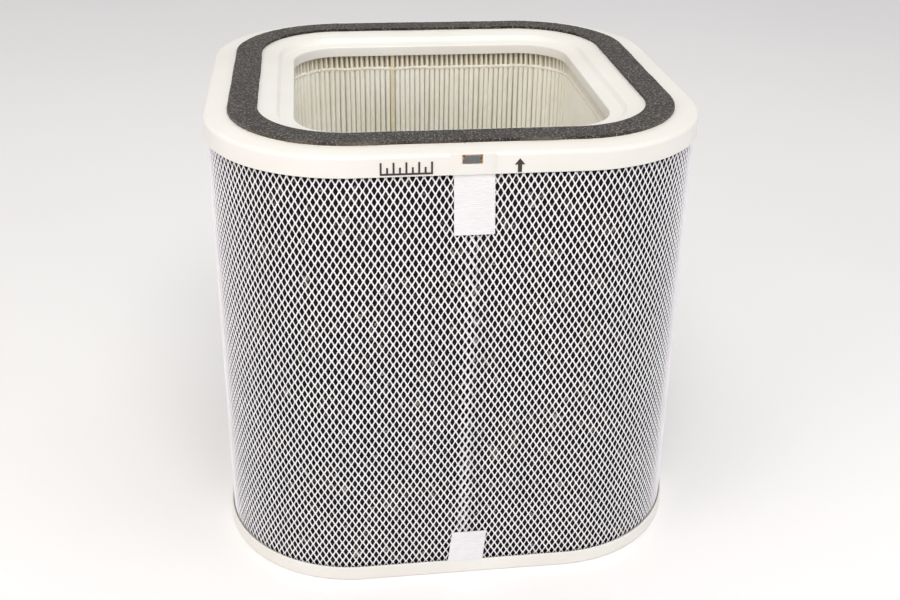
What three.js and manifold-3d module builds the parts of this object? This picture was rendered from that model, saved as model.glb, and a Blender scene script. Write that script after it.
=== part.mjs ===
// Filter cartridge of a 360 degree air purifier, in mm, +Z up. Its origin is the middle of its
// underside and its front looks along -Y. Air comes in through the white net all round, passes the
// carbon layer and the pleated media, and leaves through the opening in the top end cap, which the
// foam gasket seals against the fan. Every ring follows one rounded rectangle: "inset" is the
// distance in from the outer face of the end caps, so rings of different inset share corner centres.
import * as THREE from 'three';
import { mergeVertices } from 'three/addons/utils/BufferGeometryUtils.js';
import Module from 'manifold-3d';

const wasm = await Module();
wasm.setup();

// ---- driving dimensions ----
const WIDTH = 280;
const DEPTH = 273;
const CORNER_RADIUS = 80;
const CAP_TOP = 267.5; // the gasket's seat
const GAP = 0.3; // clearance between neighbouring pieces
const CORNER_STEPS = 10; // flats in each rounded corner

const SKIRT = { wall: 1.2, bottom: CAP_TOP - 12.25, drop: 0.75, round: 2 };
const LIP = { wall: 1.2, height: 9, floor: 2.5, round: 1.2, recess: 1.25 };
const SEAT = { outer: 13, inner: 31 }; // flat part of the top cap that carries the gasket
const LEDGE = { outer: 40.3, dip: 1.7, riser: 2, drop: 4.6, slope: 0.7 }; // step down to the opening
const COLLAR = { inner: 50, wall: 1.5, depth: 11.9, round: 1.2 };
const PLATE = 2.5; // thickness of the top cap
const FOAM = { outer: 13.6, inner: 29.9, thickness: 1.75, film: 0.25, joint: -2 };

const NET = { outer: 1.5, wall: 0.8 };
const OVERLAP = { outer: 2.6, wall: 0.5, left: -4, right: 7 };
const CARBON = { outer: 3.4, wall: 3.2 };
const SCRIM = { outer: 6.9, wall: 0.5 };
const MEDIA = { outer: 9.2, inner: 47.2, sheet: 0.45, pleats: 196 };
const BEAD = { width: 0.8, height: 1.6, fromTop: 21.5, fromBottom: 25 };
const SPLICE = { pleat: 39, width: 1.5, depth: 6 };
const POTTING = 3.25; // depth of the adhesive that holds the layers
const LAYER_TOP = 257.75; // upper end of the media, carbon and net

const TAG = { x: -0.2, z: 263.75, width: 10, height: 4.4, board: 0.4 };
const CHIP = { thickness: 0.5, side: 1.2, top: 0.4 }; // its distance in from the board's edges
const TERMINAL = { width: 1.1, thickness: 0.25 };
const POCKET = { depth: 0.9, margin: 0.3, backing: 4, backingDrop: 1 };
const PAD = { left: -10.8, right: 11.6, proud: 0.25 }; // flat that interrupts the rounded rim
const TAB = { x: 1.2, width: 21.4, sheet: 0.4, bottom: 221.5 };
const FOOT_TAB = { x: 0.5, width: 21.2, top: 29.5, flare: 1, bend: 0.4 };
const INK = 0.2;
const SCALE_MARK = {
  left: -47.4, right: -20.4, bottom: 256.3, top: 263.1, stroke: 1, ticks: 9, shortTick: 0.6,
};
const ARROW = { x: 24.3, bottom: 256, top: 263.4, head: 3.3, width: 5.4, shaft: 2.1 };

// ---- sizes worked out from them ----
const FRONT = -DEPTH / 2; // y of the skirt's flat front
const SECTION_Z = { low: LIP.floor + GAP + POTTING + GAP, high: LAYER_TOP }; // ends of the layers
const NET_FRONT = FRONT + NET.outer;

const materials = {
  capPlastic: new THREE.MeshStandardMaterial({ color: 0xf4f3ea, roughness: 0.35, metalness: 0 }),
  foam: new THREE.MeshStandardMaterial({ color: 0x464440, roughness: 0.95, metalness: 0 }),
  film: new THREE.MeshStandardMaterial({ color: 0xe6dcc0, roughness: 0.4, metalness: 0 }),
  media: new THREE.MeshStandardMaterial({ color: 0xebe9d7, roughness: 0.9, metalness: 0 }),
  splice: new THREE.MeshStandardMaterial({ color: 0xe4dcb8, roughness: 0.8, metalness: 0 }),
  adhesive: new THREE.MeshStandardMaterial({ color: 0xf3ead6, roughness: 0.45, metalness: 0 }),
  carbon: new THREE.MeshStandardMaterial({ color: 0x231e1c, roughness: 0.9, metalness: 0 }),
  scrim: new THREE.MeshStandardMaterial({ color: 0xe9e7df, roughness: 0.95, metalness: 0 }),
  net: new THREE.MeshStandardMaterial({ color: 0xfaf8ff, roughness: 0.45, metalness: 0 }),
  tape: new THREE.MeshStandardMaterial({ color: 0xf4f3f3, roughness: 0.6, metalness: 0 }),
  board: new THREE.MeshStandardMaterial({ color: 0xc9a878, roughness: 0.5, metalness: 0 }),
  resin: new THREE.MeshStandardMaterial({ color: 0x5f6164, roughness: 0.5, metalness: 0 }),
  brass: new THREE.MeshStandardMaterial({ color: 0x966f48, roughness: 0.35, metalness: 1 }),
  ink: new THREE.MeshStandardMaterial({ color: 0x3c3230, roughness: 0.6, metalness: 0 }),
};

const group = new THREE.Group();

function addPiece(name, geometry, material) {
  const mesh = new THREE.Mesh(geometry, material.clone());
  mesh.name = name;
  group.add(mesh);
}

// ---- solids ----
function weld(geometry) {
  geometry.deleteAttribute('normal');
  geometry.deleteAttribute('uv');
  return mergeVertices(geometry);
}

function toSolid(geometry) {
  const merged = weld(geometry);
  const vertProperties = new Float32Array(merged.attributes.position.array);
  const triVerts = new Uint32Array(merged.index.array);
  return new wasm.Manifold(new wasm.Mesh({ numProp: 3, vertProperties, triVerts }));
}

function toGeometry(solid) {
  const { numProp, vertProperties, triVerts } = solid.getMesh();
  const positions = new Float32Array((vertProperties.length / numProp) * 3);
  for (let i = 0; i < positions.length / 3; i++) {
    positions.set(vertProperties.subarray(i * numProp, i * numProp + 3), i * 3);
  }
  const geometry = new THREE.BufferGeometry();
  geometry.setAttribute('position', new THREE.BufferAttribute(positions, 3));
  geometry.setIndex(new THREE.BufferAttribute(new Uint32Array(triVerts), 1));
  return geometry;
}

function box(x0, x1, y0, y1, z0, z1) {
  const geometry = new THREE.BoxGeometry(x1 - x0, y1 - y0, z1 - z0);
  return geometry.translate((x0 + x1) / 2, (y0 + y1) / 2, (z0 + z1) / 2);
}

// ---- the rounded rectangle ----
// A point of the corner in quarter q, at an angle from 0 to 1 of that quarter.
function cornerPoint(q, share, inset) {
  const angle = ((q + share) * Math.PI) / 2;
  const radius = CORNER_RADIUS - inset;
  const right = q === 0 || q === 3;
  const back = q === 0 || q === 1;
  const x = (right ? 1 : -1) * (WIDTH / 2 - CORNER_RADIUS) + radius * Math.cos(angle);
  const y = (back ? 1 : -1) * (DEPTH / 2 - CORNER_RADIUS) + radius * Math.sin(angle);
  return new THREE.Vector2(x, y);
}

// A section of [inset, z] points carried round the rectangle. It is a lathe whose four quarters are
// pulled apart to the corner centres, so the flats between them are the four straight sides.
function sweep(section) {
  const ring = section.map(([inset, z]) => new THREE.Vector2(inset, z));
  if (!THREE.ShapeUtils.isClockWise(ring)) ring.reverse();
  ring.push(ring[0].clone());
  const columns = 4 * (CORNER_STEPS + 1);
  const geometry = new THREE.LatheGeometry(ring, columns);
  const position = geometry.attributes.position;
  for (let i = 0; i < position.count; i++) {
    const column = Math.floor(i / ring.length) % columns;
    const q = Math.floor(column / (CORNER_STEPS + 1));
    const share = (column % (CORNER_STEPS + 1)) / CORNER_STEPS;
    const { x: inset, y: z } = ring[i % ring.length];
    const point = cornerPoint(q, share, inset);
    position.setXYZ(i, point.x, point.y, z);
  }
  return weld(geometry);
}

function wall(outer, thickness, low, high) {
  return sweep([
    [outer, low],
    [outer + thickness, low],
    [outer + thickness, high],
    [outer, high],
  ]);
}

function outline(inset) {
  const points = [];
  for (let q = 0; q < 4; q++) {
    for (let k = 0; k <= CORNER_STEPS; k++) points.push(cornerPoint(q, k / CORNER_STEPS, inset));
  }
  return points;
}

function disc(inset, low, high) {
  const shape = new THREE.Shape(outline(inset));
  const geometry = new THREE.ExtrudeGeometry(shape, { depth: high - low, bevelEnabled: false });
  return geometry.translate(0, 0, low);
}

// Points of a quarter circle from one section point to the next, bulging towards the corner point.
function rounding(from, corner, to, steps = 4) {
  const points = [];
  for (let i = 0; i <= steps; i++) {
    const a = (i / steps) * (Math.PI / 2);
    const towardsEnd = 1 - Math.cos(a);
    const alongStart = Math.sin(a);
    const inset = from[0] + (corner[0] - from[0]) * alongStart + (to[0] - corner[0]) * towardsEnd;
    const z = from[1] + (corner[1] - from[1]) * alongStart + (to[1] - corner[1]) * towardsEnd;
    points.push([inset, z]);
  }
  return points;
}

// ---- end caps ----
function topEndCap() {
  const rim = CAP_TOP - SKIRT.drop;
  const ledgeTop = CAP_TOP - LEDGE.drop;
  const ledgeEnd = ledgeTop - LEDGE.slope;
  const collarBottom = CAP_TOP - COLLAR.depth;
  const collarOuter = COLLAR.inner - COLLAR.wall;
  const ledgeStart = LEDGE.outer + LEDGE.riser;
  const section = [
    [0, SKIRT.bottom],
    ...rounding([0, rim - SKIRT.round], [0, rim], [SKIRT.round, rim]),
    [SEAT.outer, CAP_TOP],
    [SEAT.inner, CAP_TOP],
    [LEDGE.outer, CAP_TOP - LEDGE.dip],
    [ledgeStart, ledgeTop],
    ...rounding([COLLAR.inner - COLLAR.round, ledgeEnd], [COLLAR.inner, ledgeEnd],
      [COLLAR.inner, ledgeEnd - COLLAR.round]),
    [COLLAR.inner, collarBottom],
    [collarOuter, collarBottom],
    [collarOuter, ledgeEnd - PLATE],
    [ledgeStart - PLATE / 2, ledgeTop - PLATE],
    [LEDGE.outer - PLATE / 2, CAP_TOP - LEDGE.dip - PLATE],
    [SEAT.inner, CAP_TOP - PLATE],
    [SKIRT.wall, CAP_TOP - PLATE - SKIRT.drop],
    [SKIRT.wall, SKIRT.bottom],
  ];
  const padSide = box(PAD.left, PAD.right, FRONT - PAD.proud, FRONT + SKIRT.wall, SKIRT.bottom, rim);
  const pocketSides = [TAG.x - TAG.width / 2 - POCKET.margin, TAG.x + TAG.width / 2 + POCKET.margin];
  const pocketLow = TAG.z - TAG.height / 2 - POCKET.margin;
  const pocketHigh = TAG.z + TAG.height / 2 + POCKET.margin;
  const backing = box(PAD.left, PAD.right, FRONT, FRONT + POCKET.backing,
    pocketLow - POCKET.backingDrop, rim);
  const pocketFloor = FRONT - PAD.proud + POCKET.depth;
  const pocket = box(...pocketSides, FRONT - 1, pocketFloor, pocketLow, pocketHigh);
  return toGeometry(
    toSolid(sweep(section)).add(toSolid(padSide)).add(toSolid(backing)).subtract(toSolid(pocket))
  );
}

function bottomEndCap() {
  const section = [
    ...rounding([LIP.round, 0], [0, 0], [0, LIP.round]),
    [0, LIP.height],
    [LIP.wall, LIP.height],
    [LIP.wall, LIP.floor],
    [COLLAR.inner - COLLAR.wall, LIP.floor],
    [COLLAR.inner - COLLAR.wall, LIP.height],
    [COLLAR.inner, LIP.height],
    [COLLAR.inner, 0],
  ];
  const middle = COLLAR.inner - COLLAR.wall / 2;
  const floor = disc(middle, LIP.recess, LIP.recess + LIP.floor);
  return toGeometry(toSolid(sweep(section)).add(toSolid(floor)));
}

// ---- gasket: two foam halves on their adhesive film ----
function gasketHalf(side, low, high) {
  const ring = toSolid(wall(FOAM.outer, FOAM.inner - FOAM.outer, low, high));
  const reach = WIDTH;
  const cut = FOAM.joint + (side * GAP) / 2;
  const away = box(Math.min(cut, cut - side * reach), Math.max(cut, cut - side * reach),
    -reach, reach, low - 1, high + 1);
  return toGeometry(ring.subtract(toSolid(away)));
}

// ---- pleated media ----
// Point at a share of the way round, measured along the inner folds, and at the given inset.
function roundPoint(share, inset) {
  const radius = CORNER_RADIUS - MEDIA.inner;
  const arc = (radius * Math.PI) / 2;
  const sides = [DEPTH - 2 * CORNER_RADIUS, WIDTH - 2 * CORNER_RADIUS];
  const half = arc * 2 + sides[0] + sides[1];
  let along = (((share % 1) + 1) % 1) * 2 * half;
  for (let q = 0; q < 4; q++) {
    if (along <= arc) return cornerPoint(q, along / arc, inset);
    along -= arc;
    const side = sides[(q + 1) % 2];
    if (along <= side) {
      const start = cornerPoint(q, 1, inset);
      const end = cornerPoint((q + 1) % 4, 0, inset);
      return start.lerp(end, along / side);
    }
    along -= side;
  }
  return cornerPoint(0, 0, inset);
}

const MEDIA_LENGTH = 2 * (WIDTH + DEPTH - 4 * CORNER_RADIUS) + 2 * Math.PI * (CORNER_RADIUS - MEDIA.inner);

function pleatedMedia() {
  const sheet = MEDIA.sheet / MEDIA_LENGTH;
  const outer = [];
  const inner = [];
  for (let i = 0; i < MEDIA.pleats; i++) {
    const fold = i / MEDIA.pleats;
    const crest = (i + 0.5) / MEDIA.pleats;
    outer.push(roundPoint(fold, MEDIA.inner - MEDIA.sheet));
    outer.push(roundPoint(crest - sheet, MEDIA.outer), roundPoint(crest + sheet, MEDIA.outer));
    inner.push(roundPoint(fold - sheet, MEDIA.inner), roundPoint(fold + sheet, MEDIA.inner));
    inner.push(roundPoint(crest, MEDIA.outer + MEDIA.sheet));
  }
  const shape = new THREE.Shape(outer);
  shape.holes.push(new THREE.Path(inner));
  const depth = SECTION_Z.high - SECTION_Z.low;
  const geometry = new THREE.ExtrudeGeometry(shape, { depth, bevelEnabled: false });
  return geometry.translate(0, 0, SECTION_Z.low);
}

// The glued joint of the media: a strip set in the mouth of one pleat on the rear side.
function spliceStrip() {
  const at = roundPoint((SPLICE.pleat + 0.5) / MEDIA.pleats, MEDIA.inner);
  return box(at.x - SPLICE.width / 2, at.x + SPLICE.width / 2, at.y, at.y + SPLICE.depth,
    SECTION_Z.low, SECTION_Z.high);
}

function bead(outer, z) {
  return wall(outer, BEAD.width, z - BEAD.height / 2, z + BEAD.height / 2);
}

// ---- adhesive in the two cap channels ----
function topPotting() {
  const low = SECTION_Z.high + GAP;
  const ledgeUnderside = CAP_TOP - LEDGE.drop - LEDGE.slope - PLATE - GAP;
  const plateUnderside = CAP_TOP - PLATE - SKIRT.drop - GAP;
  const outer = SKIRT.wall + GAP;
  const inner = COLLAR.inner - COLLAR.wall - GAP;
  const ring = toSolid(sweep([
    [outer, low],
    [inner, low],
    [inner, ledgeUnderside],
    [LEDGE.outer - PLATE, ledgeUnderside],
    [SEAT.inner, plateUnderside],
    [outer, plateUnderside],
  ]));
  const backing = box(PAD.left - GAP, PAD.right + GAP, FRONT - 1, FRONT + POCKET.backing + GAP,
    low - 1, CAP_TOP);
  return toGeometry(ring.subtract(toSolid(backing)));
}

// ---- tabs over the net seam ----
function sideExtrusion(points, x, width) {
  const shape = new THREE.Shape(points.map(([y, z]) => new THREE.Vector2(y, z)));
  const geometry = new THREE.ExtrudeGeometry(shape, { depth: width, bevelEnabled: false });
  const turn = new THREE.Matrix4().makeBasis(
    new THREE.Vector3(0, 1, 0),
    new THREE.Vector3(0, 0, 1),
    new THREE.Vector3(1, 0, 0)
  );
  return geometry.applyMatrix4(turn).translate(x - width / 2, 0, 0);
}

function bottomSeamTab() {
  const face = NET_FRONT - GAP;
  const low = LIP.height + GAP;
  const middle = low + (FOOT_TAB.top - low) * FOOT_TAB.bend;
  const bulge = FOOT_TAB.flare * FOOT_TAB.bend;
  return sideExtrusion([
    [face, FOOT_TAB.top],
    [face - TAB.sheet, FOOT_TAB.top],
    [face - TAB.sheet - bulge, middle],
    [face - TAB.sheet - FOOT_TAB.flare, low],
    [face - FOOT_TAB.flare, low],
    [face - bulge, middle],
  ], FOOT_TAB.x, FOOT_TAB.width);
}

// ---- printed marks and tag, drawn in the front plane as [x, z] ----
function frontExtrusion(points, face, thickness) {
  const shape = new THREE.Shape(points.map(([x, z]) => new THREE.Vector2(x, z)));
  const geometry = new THREE.ExtrudeGeometry(shape, { depth: thickness, bevelEnabled: false });
  const turn = new THREE.Matrix4().makeBasis(
    new THREE.Vector3(1, 0, 0),
    new THREE.Vector3(0, 0, 1),
    new THREE.Vector3(0, -1, 0)
  );
  return geometry.applyMatrix4(turn).translate(0, face, 0);
}

// A plain alignment scale: tall and short ticks standing on one line.
function scaleMark() {
  const { left, right, bottom, top, stroke, ticks } = SCALE_MARK;
  const step = (right - left - stroke) / (ticks - 1);
  const line = bottom + stroke;
  const shortTip = bottom + (top - bottom) * SCALE_MARK.shortTick;
  const points = [[left, bottom], [right, bottom]];
  for (let i = ticks - 1; i >= 0; i--) {
    const x = left + i * step;
    const tip = i % 2 === 0 ? top : shortTip;
    points.push([x + stroke, tip], [x, tip]);
    if (i > 0) points.push([x, line], [x - step + stroke, line]);
  }
  return frontExtrusion(points, FRONT, INK);
}

function arrowMark() {
  const { x, bottom, top, head, width, shaft } = ARROW;
  const neck = top - head;
  return frontExtrusion([
    [x - shaft / 2, bottom],
    [x + shaft / 2, bottom],
    [x + shaft / 2, neck],
    [x + width / 2, neck],
    [x, top],
    [x - width / 2, neck],
    [x - shaft / 2, neck],
  ], FRONT, INK);
}

function addTag() {
  const floor = FRONT - PAD.proud + POCKET.depth;
  const low = TAG.z - TAG.height / 2;
  const high = TAG.z + TAG.height / 2;
  const left = TAG.x - TAG.width / 2;
  const right = TAG.x + TAG.width / 2;
  const face = floor - TAG.board;
  const chipFace = face - CHIP.thickness;
  const metalFace = face - TERMINAL.thickness;
  addPiece('tag_board', box(left, right, face, floor, low, high), materials.board);
  addPiece('tag_chip',
    box(left + CHIP.side, right - CHIP.side, chipFace, face, low, high - CHIP.top),
    materials.resin);
  addPiece('tag_terminal_left', box(left, left + TERMINAL.width, metalFace, face, low, high),
    materials.brass);
  addPiece('tag_terminal_right', box(right - TERMINAL.width, right, metalFace, face, low, high),
    materials.brass);
}

// ---- assembly ----
addPiece('top_end_cap', topEndCap(), materials.capPlastic);
addPiece('bottom_end_cap', bottomEndCap(), materials.capPlastic);
for (const [name, side] of [['left', -1], ['right', 1]]) {
  const film = CAP_TOP + FOAM.film;
  addPiece(`gasket_adhesive_${name}`, gasketHalf(side, CAP_TOP, film), materials.film);
  addPiece(`gasket_${name}`, gasketHalf(side, film, film + FOAM.thickness), materials.foam);
}

addPiece('top_potting', topPotting(), materials.adhesive);
const pottingInner = COLLAR.inner - COLLAR.wall - GAP;
const pottingOuter = LIP.wall + GAP;
const pottingLow = LIP.floor + GAP;
addPiece('bottom_potting',
  wall(pottingOuter, pottingInner - pottingOuter, pottingLow, pottingLow + POTTING),
  materials.adhesive);

addPiece('pleated_media', pleatedMedia(), materials.media);
addPiece('media_splice_strip', spliceStrip(), materials.splice);
const beadHeights = {
  upper: CAP_TOP - BEAD.fromTop,
  middle: (CAP_TOP - BEAD.fromTop + BEAD.fromBottom) / 2,
  lower: BEAD.fromBottom,
};
for (const [name, z] of Object.entries(beadHeights)) {
  addPiece(`inner_bead_${name}`, bead(MEDIA.inner + GAP, z), materials.adhesive);
  addPiece(`outer_bead_${name}`, bead(SCRIM.outer + SCRIM.wall + GAP, z), materials.adhesive);
}

addPiece('carbon_scrim', wall(SCRIM.outer, SCRIM.wall, SECTION_Z.low, SECTION_Z.high), materials.scrim);
addPiece('carbon_layer', wall(CARBON.outer, CARBON.wall, SECTION_Z.low, SECTION_Z.high),
  materials.carbon);
addPiece('prefilter_net', wall(NET.outer, NET.wall, SECTION_Z.low, SECTION_Z.high), materials.net);
addPiece('net_seam_overlap',
  box(OVERLAP.left, OVERLAP.right, FRONT + OVERLAP.outer, FRONT + OVERLAP.outer + OVERLAP.wall,
    SECTION_Z.low, SECTION_Z.high),
  materials.net);
addPiece('top_seam_tab',
  box(TAB.x - TAB.width / 2, TAB.x + TAB.width / 2, NET_FRONT - GAP - TAB.sheet, NET_FRONT - GAP,
    TAB.bottom, SKIRT.bottom - GAP),
  materials.tape);
addPiece('bottom_seam_tab', bottomSeamTab(), materials.tape);

addTag();
addPiece('front_scale_mark', scaleMark(), materials.ink);
addPiece('up_arrow_mark', arrowMark(), materials.ink);

export default group;
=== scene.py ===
# Looks of the filter cartridge of a 360 degree air purifier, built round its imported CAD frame.
# Metres, +Z up, front along -Y. Every ring of the cartridge follows one rounded rectangle: "inset"
# is the distance in from the outer face of the end caps, and "along" runs round a ring from the
# middle of the front towards +X.
import math

import bmesh
import bpy
import numpy as np
from mathutils import Matrix, Vector, noise


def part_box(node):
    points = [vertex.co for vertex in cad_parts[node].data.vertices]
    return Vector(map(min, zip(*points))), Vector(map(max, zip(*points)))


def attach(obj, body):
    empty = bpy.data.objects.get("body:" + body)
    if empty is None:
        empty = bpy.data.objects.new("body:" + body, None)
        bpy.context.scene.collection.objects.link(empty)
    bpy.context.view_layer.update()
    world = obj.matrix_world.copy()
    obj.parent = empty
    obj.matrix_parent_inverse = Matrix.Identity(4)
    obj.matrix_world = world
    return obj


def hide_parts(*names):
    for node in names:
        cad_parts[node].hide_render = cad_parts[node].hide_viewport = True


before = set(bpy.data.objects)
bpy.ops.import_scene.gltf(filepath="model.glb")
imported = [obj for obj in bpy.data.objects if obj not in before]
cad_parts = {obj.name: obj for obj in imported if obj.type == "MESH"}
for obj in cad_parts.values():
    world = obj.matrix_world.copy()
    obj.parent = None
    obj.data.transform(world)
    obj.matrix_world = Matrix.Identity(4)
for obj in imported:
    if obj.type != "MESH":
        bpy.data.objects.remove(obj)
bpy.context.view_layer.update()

MM = 0.001

# ---- places from the frame ----
CAP_LOW, CAP_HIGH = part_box("top_end_cap")
NET_LOW, NET_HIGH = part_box("prefilter_net")
FOAM_LOW, FOAM_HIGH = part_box("gasket_right")
FILM_LOW, FILM_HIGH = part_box("gasket_adhesive_right")
TAG_LOW, TAG_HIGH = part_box("tag_board")
HALF_WIDTH, HALF_DEPTH = CAP_HIGH.x, CAP_HIGH.y
CAP_TOP, SKIRT_BOTTOM = CAP_HIGH.z, CAP_LOW.z
LIP_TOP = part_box("bottom_end_cap")[1].z
FRONT = -HALF_DEPTH
CORNER_RADIUS = 80 * MM
LAYER_LOW, LAYER_HIGH = NET_LOW.z, NET_HIGH.z

# ---- sizes of the visible detail ----
BULGE = 1.2 * MM  # how far the soft sleeves belly out in the middle of each side
BULGE_REACH = 85 * MM  # from the middle of a side to where the belly ends
RING_STEP = 3 * MM  # between the stations of a swept ring

# Sections of the two end caps, in mm: insets, and drops from the top or heights from the bottom.
WALL = 1.2  # thickness of the skirt and the lip
SHEET = 2.5  # thickness of the top and the bottom
RIM_DROP = 0.75  # from the gasket's seat to the top of the skirt
SEAT = {"outer": 13, "inner": 31}
LEDGE = {"outer": 40.3, "dip": 1.7, "riser": 2, "drop": 4.6, "slope": 0.7, "wall": 1.1}
COLLAR = {"inner": 50, "wall": 1.5, "depth": 11.9}
BASE = {"lip": 9, "recess": 1.25, "middle": 60}

# The raised pad on the front of the skirt and the tag's pocket in it, whose sides are CUT wide.
PAD = {"left": -10.8 * MM, "right": 11.6 * MM, "proud": 0.25 * MM, "round": 0.35 * MM}
PAD_EASE = 0.3 * MM
POCKET_MARGIN, POCKET_DEPTH, CUT = 0.3 * MM, 0.9 * MM, 0.05 * MM

GASKET = {"width": 16.3 * MM, "step": 0.9 * MM, "strips": 16, "film_margin": 0.1 * MM}

NET = {
    "columns": 244,  # openings round the ring, which the overlap adds to
    "row": 6.422 * MM,
    "level": 128.75 * MM,  # height of one row of openings
    "plumb": 110 * MM,  # height at which both ends of the net are in step
    "seam": 1.38 * MM,  # place of the seam's openings at that height
    "lean": (0.0138, 0.0093),  # lean of the columns at the first and last end
    "middle": 1.9 * MM,  # inset of the strands' centreline
    "hole": (1.27 * MM, 2.43 * MM),  # half width and half height of an opening
    "blunt": 0.56,  # share of both that the flanks of an opening reach
    "crown": 0.40 * MM,  # half thickness of a strand
    "wander": (0.05 * MM, 0.06 * MM),  # how far a strand strays along the ring and in height
}
OVERLAP_COLUMNS = 6  # half-columns of the tucked end
OVERLAP_MIDDLE = 2.95 * MM

GRANULES = {
    "spacing": 2.1 * MM,
    "bed": 3.2 * MM,  # thickness of the bed
    "relief": 1.25 * MM,  # how far the granules stand out of it
    "pitch": 0.85 * MM,  # of the bed's mesh
}
FLEECE_THICKNESS = 0.5 * MM

PLEATS = 196
FOLD_IN = 47.2 * MM
FOLD_OUT = 9.2 * MM
PAPER = 0.4 * MM
PARTED = 0.88  # share of the gaps between folds that stay shut
BEAD_LEVELS = ("upper", "middle", "lower")
BEAD_HEIGHTS = [sum(corner.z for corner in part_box(f"inner_bead_{level}")) / 2
                for level in BEAD_LEVELS]
BEAD_INSET = FOLD_IN + 0.05 * MM

TAPE_THICKNESS = 0.3 * MM
TAPE_LIFT = 0.35 * MM  # of the tape's face from the back of its tab's box, before the belly

rng = np.random.default_rng(11)


# ---- the ring ----
def ring_marks(inset):
    """Distances along a ring at which its flats and corners begin, and last its length."""
    flat_x = HALF_WIDTH - CORNER_RADIUS
    flat_y = HALF_DEPTH - CORNER_RADIUS
    arc = (CORNER_RADIUS - inset) * math.pi / 2
    steps = [0, flat_x, arc, 2 * flat_y, arc, 2 * flat_x, arc, 2 * flat_y, arc, flat_x]
    return np.cumsum(steps)


def ring_length(inset):
    return ring_marks(inset)[-1]


def ring_core(along, inset):
    """Corner-circle centre (or its slide along a flat) and outward normal at each distance."""
    marks = ring_marks(inset)
    along = np.mod(along, marks[-1])
    x = HALF_WIDTH - CORNER_RADIUS
    y = HALF_DEPTH - CORNER_RADIUS
    core_x = np.interp(along, marks, [0, x, x, x, x, -x, -x, -x, -x, 0])
    core_y = np.interp(along, marks, [-y, -y, -y, y, y, y, y, -y, -y, -y])
    turn = np.interp(along, marks, [-90, -90, 0, 0, 90, 90, 180, 180, 270, 270])
    angle = np.radians(turn)
    return np.stack([core_x, core_y], -1), np.stack([np.cos(angle), np.sin(angle)], -1)


def belly(core, normal, z):
    """Outward belly of the sleeves, full in the middle of each flat and nil at the caps."""
    # The way from the middle of a side: along the flat, and then round the corner.
    reach = np.abs(core * normal[..., ::-1]).sum(-1)
    radial = np.abs(normal).max(-1)
    corner = np.arccos(np.clip(radial, 0, 1)) * CORNER_RADIUS
    across = np.cos(np.clip((reach + corner) / BULGE_REACH, 0, 1) * math.pi / 2) ** 2
    middle = (SKIRT_BOTTOM + LIP_TOP) / 2
    height = (z - middle) / (SKIRT_BOTTOM - middle)
    return BULGE * across * np.clip(1 - height**4, 0, 1)


def on_ring(along, inset, z, at=None, soft=0.0):
    """Points along the ring of inset `at`, moved to inset, at height z, soft being their belly."""
    along, inset, z = np.broadcast_arrays(along, inset, z)
    core, normal = ring_core(along, float(np.mean(inset)) if at is None else at)
    out = CORNER_RADIUS - inset
    if soft:
        out = out + soft * belly(core, normal, z)
    xy = core + normal * out[..., None]
    return np.concatenate([xy, z[..., None]], -1)


# ---- meshes ----
def face_outwards(mesh):
    """Turns every face of a closed mesh to look outwards."""
    shape = bmesh.new()
    shape.from_mesh(mesh)
    bmesh.ops.recalc_face_normals(shape, faces=shape.faces)
    shape.to_mesh(mesh)
    shape.free()


def add_piece(name, points, faces, material, stands_for, sharp=35, tone=None):
    """Makes one piece from points and faces, gives it its finish and lets it ride on the body.

    sharp is the angle in degrees from which an edge stays sharp, and tone is a share from 0 to 1
    for each point, which the material reads.
    """
    mesh = bpy.data.meshes.new(name)
    mesh.from_pydata(np.asarray(points, float).reshape(-1, 3), [], faces)
    face_outwards(mesh)
    mesh.shade_smooth()
    if sharp:
        mesh.set_sharp_from_angle(angle=math.radians(sharp))
    if tone is not None:
        layer = mesh.attributes.new("tone", "FLOAT", "POINT")
        layer.data.foreach_set("value", np.asarray(tone, np.float32))
    mesh.materials.append(material)
    piece = bpy.data.objects.new(name, mesh)
    bpy.context.scene.collection.objects.link(piece)
    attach(piece, "root")
    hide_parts(*stands_for)
    return piece


def grid_faces(columns, rows, wrap_columns=False, wrap_rows=False):
    """Quads of a grid of points numbered column by column."""
    i = np.arange(columns if wrap_columns else columns - 1)
    j = np.arange(rows if wrap_rows else rows - 1)
    i, j = np.meshgrid(i, j, indexing="ij")
    right, up = (i + 1) % columns, (j + 1) % rows
    quads = np.stack([i * rows + j, right * rows + j, right * rows + up, i * rows + up], -1)
    return quads.reshape(-1, 4)


def end_faces(columns, rows):
    """The first and last faces of a grid whose columns are closed loops."""
    return [list(range(rows))[::-1], [(columns - 1) * rows + j for j in range(rows)]]


def rounded(corners, steps=5):
    """Section points of a polygon of (inset, z, radius) corners, with each corner rounded."""
    points = []
    count = len(corners)
    for k, (x, z, radius) in enumerate(corners):
        here = Vector((x, z))
        if not radius:
            points.append(here)
            continue
        before = (Vector(corners[k - 1][:2]) - here).normalized()
        after = (Vector(corners[(k + 1) % count][:2]) - here).normalized()
        half = before.angle(after) / 2
        centre = here + (before + after).normalized() * radius / math.sin(half)
        start = here + before * radius / math.tan(half)
        end = here + after * radius / math.tan(half)
        sweep = (start - centre).angle_signed(end - centre)
        for step in range(steps + 1):
            arm = Matrix.Rotation(-sweep * step / steps, 2) @ (start - centre)
            points.append(centre + arm)
    return np.array([tuple(p) for p in points])


def plain_block(outer, inner, low, high):
    """Section of a plain strip between two insets and two heights."""
    return np.array([(outer, low), (outer, high), (inner, high), (inner, low)])


def ring_stations(extra=(), clear=0.0):
    """Even distances round the outer ring, with extra ones and none of the even ones near them."""
    length = ring_length(0)
    even = np.linspace(0, length, round(length / RING_STEP), endpoint=False)
    if len(extra):
        low, high = min(extra) - clear, max(extra) + clear
        signed = np.where(even > length / 2, even - length, even)
        even = even[(signed < low) | (signed > high)]
    return np.unique(np.concatenate([even, np.mod(extra, length)]))


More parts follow.
